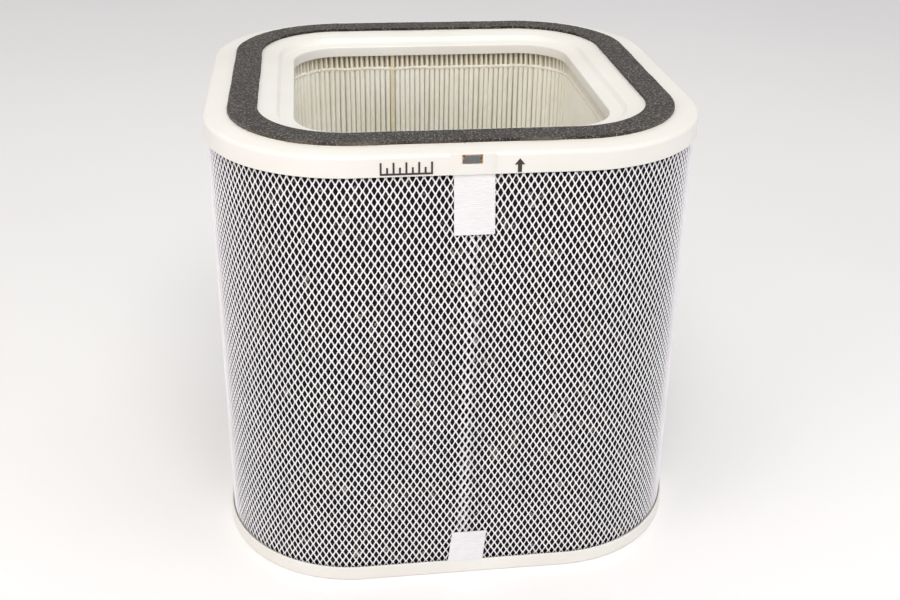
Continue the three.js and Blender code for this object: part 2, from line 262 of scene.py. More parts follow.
def swept_points(sections, stations):
    """Points of the section at each station; sections is one section or one for each station."""
    core, normal = ring_core(stations, 0.0)
    sections = np.broadcast_to(sections, (len(stations), *np.shape(sections)[-2:]))
    out = CORNER_RADIUS - sections[..., 0]
    xy = core[:, None, :] + normal[:, None, :] * out[..., None]
    return np.concatenate([xy, sections[..., 1][..., None]], -1)


def swept_ring(sections, stations, ends=False):
    """A closed section carried right round, or an open one whose two ends are capped."""
    points = swept_points(sections, stations)
    columns, rows = points.shape[:2]
    faces = grid_faces(columns, rows, wrap_columns=True, wrap_rows=not ends).tolist()
    if ends:
        first = (np.arange(columns) * rows).tolist()
        faces.append(first[::-1])
        faces.append([i + rows - 1 for i in first])
    return points, faces


def swept_arc(section, stations):
    """A closed section carried along part of the ring, with flat ends."""
    points = swept_points(section, stations)
    columns, rows = points.shape[:2]
    faces = grid_faces(columns, rows, wrap_rows=True).tolist()
    return points, faces + end_faces(columns, rows)


# ---- materials ----
class Finish:
    """A Principled material whose colour, roughness and relief come from procedural nodes.

    The scales of its textures are in cells per metre.
    """

    def __init__(self, name, roughness, specular=0.5, metallic=0.0, **sockets):
        self.material = bpy.data.materials.new(name)
        self.material.use_nodes = True
        self.tree = self.material.node_tree
        self.shader = self.tree.nodes["Principled BSDF"]
        self.set("Roughness", roughness)
        self.set("Specular IOR Level", specular)
        self.set("Metallic", metallic)
        for socket, value in sockets.items():
            self.set(socket.replace("_", " "), value)
        self.place = self.add("ShaderNodeTexCoord").outputs["Object"]

    def add(self, kind):
        return self.tree.nodes.new(kind)

    def set(self, socket, value):
        self.shader.inputs[socket].default_value = value

    def link(self, source, target):
        self.tree.links.new(source, target)

    def stretched(self, scale):
        """Object coordinates scaled differently along each axis."""
        mapping = self.add("ShaderNodeMapping")
        mapping.inputs["Scale"].default_value = scale
        self.link(self.place, mapping.inputs["Vector"])
        return mapping.outputs["Vector"]

    def noise(self, scale, detail=3.0, place=None):
        node = self.add("ShaderNodeTexNoise")
        node.inputs["Scale"].default_value = scale
        node.inputs["Detail"].default_value = detail
        self.link(place or self.place, node.inputs["Vector"])
        return node.outputs["Fac"]

    def cells(self, scale, place=None):
        node = self.add("ShaderNodeTexVoronoi")
        node.inputs["Scale"].default_value = scale
        self.link(place or self.place, node.inputs["Vector"])
        return node.outputs["Distance"]

    def attribute(self, name):
        node = self.add("ShaderNodeAttribute")
        node.attribute_name = name
        return node.outputs["Fac"]

    def ramp(self, value, stops):
        """Colours at places from 0 to 1 along a value."""
        node = self.add("ShaderNodeValToRGB")
        ramp = node.color_ramp
        while len(ramp.elements) < len(stops):
            ramp.elements.new(1.0)
        for element, (place, colour) in zip(ramp.elements, stops):
            element.position = place
            element.color = (*colour, 1.0)
        self.link(value, node.inputs["Fac"])
        return node.outputs["Color"]

    def mix(self, share, first, second, blend="MIX"):
        node = self.add("ShaderNodeMix")
        node.data_type = "RGBA"
        node.blend_type = blend
        if isinstance(share, float):
            node.inputs["Factor"].default_value = share
        else:
            self.link(share, node.inputs["Factor"])
        self.link(first, node.inputs["A"])
        self.link(second, node.inputs["B"])
        return node.outputs["Result"]

    def scaled(self, value, low, high):
        node = self.add("ShaderNodeMapRange")
        node.inputs["To Min"].default_value = low
        node.inputs["To Max"].default_value = high
        self.link(value, node.inputs["Value"])
        return node.outputs["Result"]

    def colour(self, source):
        self.link(source, self.shader.inputs["Base Color"])

    def rough(self, value, low, high):
        self.link(self.scaled(value, low, high), self.shader.inputs["Roughness"])

    def relief(self, *layers):
        """Bump from (height, depth in mm) layers, each one on top of the last."""
        normal = None
        for height, depth in layers:
            node = self.add("ShaderNodeBump")
            node.inputs["Distance"].default_value = depth * MM
            self.link(height, node.inputs["Height"])
            if normal:
                self.link(normal, node.inputs["Normal"])
            normal = node.outputs["Normal"]
        self.link(normal, self.shader.inputs["Normal"])


def shades(low, high):
    """Two stops that keep a noise's middle range between two colours."""
    return [(0.3, low), (0.7, high)]


def moulded_plastic():
    finish = Finish("moulded_plastic", 0.34, specular=0.45)
    cloud = finish.noise(14, 2)
    finish.colour(finish.ramp(cloud, shades((0.76, 0.745, 0.70), (0.81, 0.80, 0.76))))
    finish.rough(finish.noise(220, 4), 0.28, 0.42)
    finish.relief((finish.noise(60, 2), 0.12), (finish.noise(1800, 3), 0.012))
    return finish.material


def open_cell_foam():
    finish = Finish("open_cell_foam", 0.95, specular=0.2, Sheen_Weight=0.15)
    pores = finish.cells(1500)
    specks = finish.noise(1100, 4)
    body = finish.ramp(specks, [(0.42, (0.009, 0.008, 0.007)), (0.56, (0.028, 0.025, 0.022)),
                                (0.66, (0.26, 0.23, 0.20))])
    # A lighter brown that the tone attribute mixes in along the outer edge.
    lighter_edge_brown = finish.ramp(finish.noise(700, 4), shades((0.075, 0.062, 0.053), (0.21, 0.17, 0.145)))
    finish.colour(finish.mix(finish.attribute("tone"), body, lighter_edge_brown))
    finish.rough(specks, 0.85, 1.0)
    finish.relief((pores, 0.4), (specks, 0.25))
    return finish.material


def adhesive_film():
    finish = Finish("adhesive_film", 0.4, specular=0.4)
    finish.colour(finish.ramp(finish.noise(90, 3), shades((0.74, 0.71, 0.62), (0.82, 0.79, 0.70))))
    finish.relief((finish.noise(900, 3), 0.03))
    return finish.material


def net_polymer():
    finish = Finish("net_polymer", 0.42, specular=0.5)
    cloud = finish.noise(55, 3)
    finish.colour(finish.ramp(cloud, shades((0.885, 0.875, 0.915), (0.955, 0.945, 0.975))))
    finish.rough(finish.noise(500, 3), 0.34, 0.5)
    finish.relief((finish.noise(1500, 2), 0.03))
    return finish.material


def carbon_granules():
    finish = Finish("carbon_granules", 0.85, specular=0.25)
    tone = finish.attribute("tone")
    grain = finish.noise(900, 5)
    body = finish.ramp(tone, [(0.0, (0.007, 0.006, 0.005)), (0.72, (0.020, 0.016, 0.014)),
                              (0.80, (0.06, 0.052, 0.036)), (0.88, (0.20, 0.185, 0.125)),
                              (0.97, (0.42, 0.40, 0.31))])
    mottle = finish.ramp(grain, shades((0.45, 0.45, 0.45), (1.0, 1.0, 1.0)))
    finish.colour(finish.mix(1.0, body, mottle, "MULTIPLY"))
    finish.relief((grain, 0.3))
    return finish.material


def fleece():
    finish = Finish("fleece", 0.95, specular=0.2)
    fibres = finish.noise(400, 6, finish.stretched((1, 1, 0.35)))
    finish.colour(finish.ramp(fibres, shades((0.62, 0.60, 0.53), (0.80, 0.78, 0.71))))
    finish.relief((fibres, 0.2))
    return finish.material


def filter_media():
    finish = Finish("filter_media", 0.9, specular=0.25)
    fibres = finish.noise(700, 6, finish.stretched((1, 1, 0.3)))
    cloud = finish.noise(35, 3)
    paper = finish.ramp(fibres, shades((0.90, 0.895, 0.83), (0.955, 0.95, 0.89)))
    stain = finish.ramp(cloud, shades((0.95, 0.935, 0.88), (1.0, 1.0, 1.0)))
    paper = finish.mix(1.0, paper, stain, "MULTIPLY")
    # Painted shade: a darker brown that the tone attribute mixes in, strongest deep in the gaps
    # between folds, where shade falls.
    valley = finish.ramp(fibres, shades((0.66, 0.54, 0.33), (0.76, 0.66, 0.46)))
    finish.colour(finish.mix(finish.attribute("tone"), paper, valley))
    finish.relief((fibres, 0.12), (finish.noise(120, 2), 0.15))
    return finish.material


def set_glue(name, low, high, roughness):
    finish = Finish(name, roughness, specular=0.5)
    finish.colour(finish.ramp(finish.noise(160, 3), shades(low, high)))
    finish.rough(finish.noise(400, 2), roughness - 0.1, roughness + 0.12)
    finish.relief((finish.noise(450, 2), 0.15))
    return finish.material


def seam_tape():
    finish = Finish("seam_tape", 0.55, specular=0.35)
    weave = finish.noise(900, 3, finish.stretched((0.25, 1, 1.6)))
    cloud = finish.noise(50, 2)
    paper = finish.ramp(weave, shades((0.75, 0.745, 0.76), (0.83, 0.825, 0.835)))
    stain = finish.ramp(cloud, shades((0.955, 0.95, 0.955), (1.0, 1.0, 1.0)))
    finish.colour(finish.mix(1.0, paper, stain, "MULTIPLY"))
    finish.rough(weave, 0.45, 0.65)
    finish.relief((weave, 0.05))
    return finish.material


def chip_resin():
    finish = Finish("chip_resin", 0.55, specular=0.4)
    grain = finish.noise(2600, 4)
    finish.colour(finish.ramp(grain, shades((0.085, 0.09, 0.095), (0.165, 0.175, 0.18))))
    finish.rough(grain, 0.45, 0.7)
    finish.relief((grain, 0.04))
    return finish.material


def board_laminate():
    finish = Finish("board_laminate", 0.45, specular=0.45)
    weave = finish.noise(1400, 2, finish.stretched((1, 1, 0.3)))
    finish.colour(finish.ramp(weave, shades((0.62, 0.42, 0.30), (0.78, 0.58, 0.44))))
    finish.relief((weave, 0.03))
    return finish.material


def terminal_metal():
    finish = Finish("terminal_metal", 0.3, metallic=1.0)
    tarnish = finish.noise(700, 4)
    finish.colour(finish.ramp(tarnish, [(0.3, (0.12, 0.055, 0.02)), (0.55, (0.33, 0.19, 0.08)),
                                        (0.75, (0.62, 0.46, 0.27))]))
    finish.rough(tarnish, 0.22, 0.5)
    finish.relief((finish.noise(2200, 3), 0.03))
    return finish.material


def print_ink():
    finish = Finish("print_ink", 0.6, specular=0.35)
    speckle = finish.noise(1500, 4)
    finish.colour(finish.ramp(speckle, shades((0.035, 0.026, 0.024), (0.062, 0.046, 0.042))))
    finish.rough(speckle, 0.5, 0.72)
    finish.relief((speckle, 0.02))
    return finish.material


def studio_floor():
    finish = Finish("studio_floor", 0.8, specular=0.1)
    finish.colour(finish.ramp(finish.noise(3, 2), shades((0.90, 0.90, 0.90), (0.92, 0.92, 0.92))))
    return finish.material


PLASTIC = moulded_plastic()
FOAM = open_cell_foam()
FILM = adhesive_film()
NET_WHITE = net_polymer()
CARBON = carbon_granules()
FLEECE = fleece()
MEDIA = filter_media()
BEAD = set_glue("bead_glue", (0.83, 0.78, 0.67), (0.90, 0.86, 0.77), 0.35)
POTTING = set_glue("potting_glue", (0.74, 0.66, 0.52), (0.84, 0.77, 0.64), 0.4)
SPLICE = set_glue("splice_glue", (0.74, 0.68, 0.48), (0.83, 0.78, 0.60), 0.7)
TAPE = seam_tape()
RESIN = chip_resin()
BOARD = board_laminate()
BRASS = terminal_metal()
INK = print_ink()


# ---- end caps ----
def mm(corners):
    """Corners of (inset, height, radius) in mm, turned to metres."""
    return [(x * MM, z * MM, r * MM) for x, z, r in corners]


def top_cap_section(face, rows, edge):
    """Section of the top cap; face is its skirt's inset, rows the heights of extra points there,
    and edge the radius of the upper edge, all in mm."""
    low, top = SKIRT_BOTTOM / MM, CAP_TOP / MM
    brink, riser = LEDGE["outer"], LEDGE["outer"] + LEDGE["riser"]
    brink_z, ledge_z = top - LEDGE["dip"], top - LEDGE["drop"]
    collar_z, collar_end = ledge_z - LEDGE["slope"], top - COLLAR["depth"]
    collar, collar_back = COLLAR["inner"], COLLAR["inner"] - COLLAR["wall"]
    corners = [(face, low, 0.3)]
    corners += [(face, z, 0) for z in rows]
    corners += [
        (face, top - RIM_DROP, edge),
        (SEAT["outer"], top, 3),
        (SEAT["inner"], top, 4),
        (brink, brink_z, 0.9),
        (riser, ledge_z, 0.9),
        (collar, collar_z, 1.1),
        (collar, collar_end, 0.3),
        (collar_back, collar_end, 0.3),
        (collar_back, collar_z - SHEET, 0.5),
        (riser - LEDGE["wall"], ledge_z - SHEET, 0.5),
        (brink - LEDGE["wall"], brink_z - SHEET, 0.5),
        (SEAT["inner"], top - SHEET, 3),
        (WALL, top - RIM_DROP - SHEET, 0.5),
        (WALL, low, 0.3),
    ]
    return rounded(mm(corners), 6)


def top_end_cap():
    """The cap, with the pad on the front of its skirt and the tag's pocket cut into the pad."""
    pocket_low = (TAG_LOW.z - POCKET_MARGIN) / MM
    pocket_high = (TAG_HIGH.z + POCKET_MARGIN) / MM
    cut = CUT / MM
    # The plain section has a row for each of the pad's, all of them below its wider round edge.
    plain_high = pocket_low + 2.8
    plain_rows = [pocket_low - cut, pocket_low, plain_high, plain_high + cut]
    pad_rows = [pocket_low - cut, pocket_low, pocket_high, pocket_high + cut]
    plain = top_cap_section(0, plain_rows, 2.2)
    pad = top_cap_section(-PAD["proud"] / MM, pad_rows, PAD["round"] / MM)
    pocket = pad.copy()
    on_face = pad[:, 0] < -PAD["proud"] + CUT
    heights = pad[:, 1] / MM
    on_pocket = on_face & (heights > pocket_low - cut / 2) & (heights < pocket_high + cut / 2)
    pocket[on_pocket, 0] = -PAD["proud"] + POCKET_DEPTH
    left = TAG_LOW.x - POCKET_MARGIN
    right = TAG_HIGH.x + POCKET_MARGIN
    extra = [PAD["left"] - PAD_EASE, PAD["left"], left - CUT, left, right, right + CUT,
             PAD["right"], PAD["right"] + PAD_EASE]
    stations = ring_stations(extra, RING_STEP / 2)
    length = ring_length(0)
    signed = np.where(stations > length / 2, stations - length, stations)
    near = 1e-7  # keeps the stations at the very edges in
    in_pad = (signed > PAD["left"] - near) & (signed < PAD["right"] + near)
    in_pocket = (signed > left - near) & (signed < right + near)
    sections = np.where(in_pad[:, None, None], pad, plain)
    sections = np.where(in_pocket[:, None, None], pocket, sections)
    points, faces = swept_ring(sections, stations)
    add_piece("moulded_top_cap", points, faces, PLASTIC, ["top_end_cap"], sharp=40)


def bottom_end_cap():
    """The cap: a channel for the layers round a closed middle that is recessed underneath."""
    lip, recess, middle = BASE["lip"], BASE["recess"], BASE["middle"]
    rim, rim_back = COLLAR["inner"], COLLAR["inner"] - COLLAR["wall"]
    corners = mm([
        (middle, recess, 0), (rim, recess, 0.5), (rim, 0, 0.5), (0, 0, 1.3), (0, lip, 0.4),
        (WALL, lip, 0.4), (WALL, SHEET, 0.4), (rim_back, SHEET, 0.4), (rim_back, lip, 0.4),
        (rim, lip, 0.4), (rim, recess + SHEET, 1.2), (middle, recess + SHEET, 0),
    ])
    points, faces = swept_ring(rounded(corners, 6), ring_stations(), ends=True)
    add_piece("moulded_bottom_cap", points, faces, PLASTIC, ["bottom_end_cap"],
              sharp=40)


top_end_cap()
bottom_end_cap()


# ---- gasket ----
def gasket_halves():
    """Foam strips with wavy cut edges, butted front and rear, on their adhesive film."""
    joint = FOAM_LOW.x
    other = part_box("gasket_left")[1].x
    rear = ring_marks(0)[4] + (HALF_WIDTH - CORNER_RADIUS)
    length = ring_length(0)
    spans = {"right": (joint, rear - joint), "left": (rear - other, length + other)}
    outer = HALF_DEPTH - FOAM_HIGH.y
    inner = outer + GASKET["width"]
    strips = GASKET["strips"]
    for side, (start, end) in spans.items():
        stations = np.linspace(start, end, round((end - start) / GASKET["step"]))
        foam_corners = [(outer, FOAM_LOW.z, 0.15 * MM), (outer, FOAM_HIGH.z, 0.45 * MM)]
        foam_corners += [(outer + (inner - outer) * k / strips, FOAM_HIGH.z, 0)
                         for k in range(1, strips)]
        foam_corners += [(inner, FOAM_HIGH.z, 0.4 * MM), (inner, FOAM_LOW.z, 0.15 * MM)]
        section = rounded(foam_corners, 3)
        points, faces = swept_arc(section, stations)
        flat = points.reshape(-1, 3)
        inset = np.tile(section[:, 0], len(stations))
        top = np.tile(section[:, 1], len(stations)) > FOAM_LOW.z + 0.5 * MM
        outward = flat[:, :2] / np.linalg.norm(flat[:, :2], axis=1)[:, None]
        edge = np.abs(inset - (outer + inner) / 2) > (inner - outer) / 2 - 1 * MM
        # Long waves and small nicks of the cut.
        slow = np.array([noise.noise(Vector(p) * 45) for p in flat])
        fast = np.array([noise.noise(Vector(p) * 420) for p in flat])
        shift = (slow * 0.35 + fast * 0.14) * MM * edge
        flat[:, :2] += outward * shift[:, None]
        flat[:, 2] += np.where(top, (fast * 0.10 + slow * 0.05 - 0.06) * MM, 0)
        # Tone: lighter brown on the outer wall, fading out within 0.7 mm of it and uneven along the
        # ring.
        outer_edge = np.clip(1 - (inset - outer) / (0.7 * MM), 0, 1)
        tone = outer_edge * np.clip(0.55 + 0.9 * slow, 0, 1)
        piece = add_piece(f"foam_gasket_{side}", flat, faces, FOAM, [f"gasket_{side}"],
                          sharp=50, tone=tone)
        near, far = outer + GASKET["film_margin"], inner - GASKET["film_margin"]
        points, faces = swept_arc(plain_block(near, far, FILM_LOW.z, FILM_HIGH.z), stations[::3])
        add_piece(f"gasket_film_{side}", points, faces, FILM, [f"gasket_adhesive_{side}"])


gasket_halves()


# ---- diamond net ----
def net_places(p, q):
    """Distance along the ring and height of half-column p and half-row q of the net."""
    last = 2 * NET["columns"]
    pitch = ring_length(NET["middle"]) / NET["columns"]
    z = NET["level"] + q * NET["row"] / 2
    lean = NET["lean"][0] + (NET["lean"][1] - NET["lean"][0]) * p / last
    along = NET["seam"] - pitch + p * pitch / 2 + lean * (z - NET["plumb"])
    return along, z


def net_inset(p):
    """Inset of the strands: the first columns lie behind the last ones and rise past them."""
    rise = np.clip((p - 3.2) / 3.6, 0, 1)
    rise = rise * rise * (3 - 2 * rise)
    return OVERLAP_MIDDLE + (NET["middle"] - OVERLAP_MIDDLE) * rise


def net_panel(name, first, last, node, crown_scale=1.0):
    """Openings of half-columns first to last, with rounded strands round each of them.

    They stand where half-column p and half-row q add up to an even number, and the ridges of
    the strands round one pass through eight points, of which u and v are twice p and q.
    """
    q_low = math.ceil((LAYER_LOW - NET["level"]) / (NET["row"] / 2)) + 1
    q_high = math.floor((LAYER_HIGH - NET["level"]) / (NET["row"] / 2)) - 1
    p, q = np.meshgrid(np.arange(first, last + 1), np.arange(q_low, q_high + 1), indexing="ij")
    keep = (p + q) % 2 == 0
    p, q = p[keep], q[keep]
    around = np.array([(2, 0), (1, 1), (0, 2), (-1, 1), (-2, 0), (-1, -1), (0, -2), (1, -1)])
    u = 2 * p[:, None] + around[:, 0]
    v = 2 * q[:, None] + around[:, 1]
    offset, stride = 4096, 16384  # make one whole number of u and v, which may be negative
    keys, inverse = np.unique((u + offset) * stride + (v + offset), return_inverse=True)
    front = inverse.reshape(u.shape)
    ridge_p = (keys // stride - offset) / 2
    ridge_q = (keys % stride - offset) / 2
    along, z = net_places(ridge_p, ridge_q)
    along = along + np.sin(ridge_p * 1.7 + ridge_q * 0.9) * NET["wander"][0]
    z = z + np.cos(ridge_p * 0.8 - ridge_q * 2.1) * NET["wander"][1]
    at_node = (ridge_p % 1 == 0).astype(float)
    crown = NET["crown"] * crown_scale * (0.9 + 0.1 * at_node)
    middle = net_inset(ridge_p)
    ridge_front = on_ring(along, middle - crown, z, NET["middle"], 1.0)
    ridge_back = on_ring(along, middle + crown * 0.75, z, NET["middle"], 1.0)

    centre_along, centre_z = net_places(p.astype(float), q.astype(float))
    swell = 1 + 0.05 * np.sin(p * 2.3 + q * 1.3)
    blunt = NET["blunt"]
    rim = np.array([(1, 0), (blunt, blunt), (0, 1), (-blunt, blunt), (-1, 0), (-blunt, -blunt),
                    (0, -1), (blunt, -blunt)])
    hole_along = centre_along[:, None] + rim[:, 0] * NET["hole"][0] * swell[:, None]
    hole_z = centre_z[:, None] + rim[:, 1] * NET["hole"][1] * swell[:, None]
    hole = on_ring(hole_along, net_inset(p.astype(float))[:, None], hole_z, NET["middle"], 1.0)

    count = len(keys)
    points = np.concatenate([ridge_front, ridge_back, hole.reshape(-1, 3)])
    front_next = np.roll(front, -1, axis=1)
    rim_index = 2 * count + np.arange(len(p) * 8).reshape(-1, 8)
    rim_next = np.roll(rim_index, -1, axis=1)
    outside = np.stack([front, front_next, rim_next, rim_index], -1).reshape(-1, 4)
    inside = np.stack([front_next + count, front + count, rim_index, rim_next], -1).reshape(-1, 4)
    ends = np.stack([front, front_next], -1).reshape(-1, 2)
    ordered = np.sort(ends, axis=1)
    _, where, uses = np.unique(ordered[:, 0] * count + ordered[:, 1], return_index=True,
                               return_counts=True)
    border = ends[where[uses == 1]]
    closing = np.stack([border[:, 1], border[:, 0], border[:, 0] + count, border[:, 1] + count], -1)
    faces = np.concatenate([outside, inside, closing]).tolist()
    add_piece(name, points, faces, NET_WHITE, [node], sharp=0)


def diamond_net():
    """The net in four panels, and its first end tucked behind the last one at the seam."""
    net_panel("net_tucked_end", 0, OVERLAP_COLUMNS - 1, "net_seam_overlap", 0.8)
    last = 2 * NET["columns"] + 2
    bounds = np.linspace(OVERLAP_COLUMNS, last + 1, 5).astype(int)
    for name, low, high in zip("abcd", bounds[:-1], bounds[1:]):
        net_panel(f"diamond_net_{name}", low, high - 1, "prefilter_net")


diamond_net()


# ---- carbon granules ----
def granule_field():
    """Draws loosely packed granules on a jittered lattice, and returns their surface."""
    spacing = GRANULES["spacing"]
    columns = round(ring_length(0) / spacing)
    step = ring_length(0) / columns
    rows = math.ceil((LAYER_HIGH - LAYER_LOW) / spacing) + 4
    jitter = rng.uniform(-0.38, 0.38, (columns, rows, 2))
    size = rng.uniform(0.55, 0.95, (columns, rows)) * spacing
    lift = rng.uniform(0.0, 0.35, (columns, rows)) * spacing
    kind = rng.uniform(0, 1, (columns, rows))
    patch = rng.uniform(0, 1, (columns // 3 + 1, rows // 3 + 1))

    def surface(along, z):
        """Height and tone of the highest granule at each place."""
        cx = along / step
        cz = (z - LAYER_LOW) / spacing + 2
        height = np.full(along.shape, -1.0)
        tone = np.zeros(along.shape)
        for di in (-1, 0, 1):
            for dj in (-1, 0, 1):
                i = (np.floor(cx).astype(int) + di) % columns
                j = np.clip(np.floor(cz).astype(int) + dj, 0, rows - 1)
                away_x = (np.floor(cx) + di + 0.5 + jitter[i, j, 0] - cx) * step
                away_z = (np.floor(cz) + dj + 0.5 + jitter[i, j, 1] - cz) * spacing
                dome = np.sqrt(np.clip(size[i, j] ** 2 - away_x**2 - away_z**2, 0, None))
                here = np.where(dome > 0, dome * 0.6 + lift[i, j], -1.0)
                pale = kind[i, j] * 0.7 + patch[i // 3, j // 3] * 0.3
                higher = here > height
                height = np.where(higher, here, height)
                tone = np.where(higher, pale, tone)
        return np.clip(height, 0, None), tone

    return surface


def carbon_panels():
    """Four slabs of bonded granules behind the net, each a closed solid with a plain back."""
    surface = granule_field()
    face = HALF_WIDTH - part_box("carbon_layer")[1].x
    back = face + GRANULES["bed"]
    relief, pitch = GRANULES["relief"], GRANULES["pitch"]
    length = ring_length(0)
    for k, name in enumerate("abcd"):
        columns = round(length / 4 / pitch)
        along = np.linspace(k * length / 4, (k + 1) * length / 4, columns)
        z = np.linspace(LAYER_LOW, LAYER_HIGH, round((LAYER_HIGH - LAYER_LOW) / pitch))
        grid_along, grid_z = np.meshgrid(along, z, indexing="ij")
        height, tone = surface(grid_along, grid_z)
        depth = face + relief - np.clip(height, 0, relief)
        front = on_ring(grid_along, depth, grid_z, 0.0, 1.0)
        rows = len(z)
        back_low = on_ring(along, back, z[0], 0.0)
        back_high = on_ring(along, back, z[-1], 0.0)
        points = np.concatenate([front.reshape(-1, 3), back_low, back_high])
        faces = grid_faces(columns, rows)
        total = columns * rows
        i = np.arange(columns - 1)
        low, high = i * rows, i * rows + rows - 1
        back_i, top_i = total + i, total + columns + i
        under = np.stack([low, back_i, back_i + 1, low + rows], -1)
        over = np.stack([high, high + rows, top_i + 1, top_i], -1)
        rear = np.stack([back_i, top_i, top_i + 1, back_i + 1], -1)
        faces = np.concatenate([faces, under, over, rear]).tolist()
        last = [*range(total - 1, total - rows - 1, -1)]
        faces.append([*range(rows), total + columns, total])
        faces.append([*last, total + columns - 1, len(points) - 1])
        tone = np.concatenate([tone.ravel(), np.zeros(2 * columns)])
        add_piece(f"carbon_bed_{name}", points, faces, CARBON, ["carbon_layer"],
                  sharp=0, tone=tone)


carbon_panels()


# ---- fleece ----
def scrim_sleeve():
    """The fleece between the carbon and the media, its flat size the ring's own."""
    outer = HALF_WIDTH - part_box("carbon_scrim")[1].x
    inner = outer + FLEECE_THICKNESS
    points, faces = swept_ring(plain_block(outer, inner, LAYER_LOW, LAYER_HIGH), ring_stations())
    piece = add_piece("fleece_sleeve", points, faces, FLEECE, ["carbon_scrim"])


# ---- folded media ----
FOLD_LENGTH = ring_length(FOLD_IN)
FOLD_PITCH = FOLD_LENGTH / PLEATS


def pleat_shape():
    """Heights, and the shape of every inner fold at each of them.

    The shape is the fold's shift and half width, and the mouth and depth of the gap beside it.
    The glue beads pinch the folds, which are free in between.
    """
    upper = BEAD_HEIGHTS[0]
    above = np.linspace(LAYER_HIGH, upper + 1.0 * MM, 5)
    spans = [np.linspace(a - 1.0 * MM, b + 1.0 * MM, rows) for a, b, rows in
             zip(BEAD_HEIGHTS, [*BEAD_HEIGHTS[1:], LAYER_LOW + 2 * MM], (8, 4, 4))]
    z = np.concatenate([above, *spans])
    shape = np.zeros((4, PLEATS, len(z)))
    pinch = [LAYER_HIGH, *BEAD_HEIGHTS, LAYER_LOW]
    for k in range(PLEATS):
        lean = 0.45 + 0.45 * noise.noise(Vector((k * 0.21, 3.1, 0)))
        spread = rng.normal(0, 0.14)
        parted = rng.uniform(0, 1, 4)
        for r, height in enumerate(z):
            span = sum(height < mark for mark in pinch[1:-1])
            top, bottom = pinch[span], pinch[span + 1]
            free = max(math.sin(math.pi * (top - height) / (top - bottom)), 0)
            sway = noise.noise(Vector((k * 0.83, span * 7.3, height * 9)))
            tip = noise.noise(Vector((k * 1.9, 11.0, height * 9)))
            if span == 0:  # above the upper bead, where the folds are thin and lean over
                rise = (height - upper) / (LAYER_HIGH - upper)
                shape[:, k, r] = spread + lean * rise, 0.62 + 0.14 * tip, 0.12, 3.6
            else:
                full = min((upper - height) / (8 * MM), 1) if span == 1 else 1
                mouth = 0.05 + 0.55 * free * max(parted[span] - PARTED, 0) / (1 - PARTED)
                width = 1.12 + (0.28 + 0.30 * tip) * full - 0.5 * mouth
                shape[:, k, r] = spread + 0.85 * sway * free, width, mouth, 2.2 + 0.8 * free
    return z, shape * MM


def folded_media():
    """Media with full-depth folds whose inner ends swell until neighbours nearly touch."""
    z, (shift, width, mouth, depth) = pleat_shape()
    rows = len(z)
    # One inner fold from its left side to its right: share of the half width, and of the depth.
    tip = [(-1.0, 0.42), (-0.86, 0.22), (-0.6, 0.09), (-0.3, 0.02), (0, 0), (0.3, 0.02),
           (0.6, 0.09), (0.86, 0.22), (1.0, 0.42)]
    base = np.arange(PLEATS)[:, None] * FOLD_PITCH
    gap = base + FOLD_PITCH / 2 + (shift + np.roll(shift, -1, axis=0)) / 2
    before = np.roll(gap, 1, axis=0)
    before[0] -= FOLD_LENGTH
    mouth_before = np.roll(mouth, 1, axis=0)
    depth_before = np.roll(depth, 1, axis=0)
    sheets, painted_valley_shade = [], []
    for layer in (0.0, PAPER):
        edge = layer * 0.8
        floor = np.full(shift.shape, FOLD_OUT + PAPER - layer)
        period = [(before, floor),
                  (before + mouth_before / 2 + edge, FOLD_IN - depth_before - layer)]
        for share, back in tip:
            period.append((base + shift + share * np.maximum(width - edge, 0.1 * MM),
                           FOLD_IN - back * depth * 0.6 - layer))
        period.append((gap - mouth / 2 - edge, FOLD_IN - depth - layer))
        along = np.stack([a for a, _ in period], 1).reshape(-1, rows)
        inset = np.stack([i for _, i in period], 1).reshape(-1, rows)
        core, normal = ring_core(along, FOLD_IN)
        xy = core + normal * (CORNER_RADIUS - inset)[..., None]
        sheets.append(np.concatenate([xy, np.broadcast_to(z, along.shape)[..., None]], -1))
        # Painted shade for the gaps between folds: the deeper a point lies in a gap, the more of
        # the darker valley colour it gets, and more again above the upper bead.
        crowded = np.clip((z - BEAD_HEIGHTS[0]) / (2 * MM), 0, 1)
        painted_valley_shade.append(np.clip((FOLD_IN - inset) / (4 * MM), 0, 1) * (0.35 + 0.65 * crowded))
    count = sheets[0].shape[0]
    points = np.concatenate([sheet.reshape(-1, 3) for sheet in sheets])
    quads = grid_faces(count, rows, wrap_columns=True)
    other = quads[:, ::-1] + count * rows
    i = np.arange(count)
    after = (i + 1) % count
    upper = np.stack([i * rows, after * rows, (after + count) * rows, (i + count) * rows], -1)
    lower = upper[:, ::-1] + rows - 1
    faces = np.concatenate([quads, other, upper, lower]).tolist()
    tone = np.concatenate([tone.ravel() for tone in painted_valley_shade])
    add_piece("folded_media", points, faces, MEDIA, ["pleated_media"], sharp=75,
              tone=tone)


folded_media()
scrim_sleeve()


# ---- glue ----
def splice_strip():
    """The glued joint of the media, an uneven bar that fills one fold on the far wall."""
    low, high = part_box("media_splice_strip")
    half, depth = 1.25 * MM, 5 * MM
    x = (low.x + high.x) / 2
    corners = [(-half, 0, 0.5 * MM), (half, 0, 0.5 * MM), (half * 0.8, depth, 0.2 * MM),
               (-half * 0.8, depth, 0.2 * MM)]
    outline = rounded(corners, 5)
    heights = np.linspace(LAYER_LOW, LAYER_HIGH, 60)
    points = []
    for z in heights:
        sway = noise.noise(Vector((4.2, 1.0, z * 25))) * 0.35 * MM
        bulk = 1 + 0.15 * noise.noise(Vector((9.2, 1.0, z * 60)))
        points.append([(x + sway + u * bulk, low.y - 0.3 * MM + v, z) for u, v in outline])
    points = np.array(points)
    rows = len(outline)
    faces = grid_faces(len(heights), rows, wrap_rows=True).tolist()
    faces += end_faces(len(heights), rows)
    add_piece("glued_splice", points, faces, SPLICE, ["media_splice_strip"],
              sharp=50)


splice_strip()


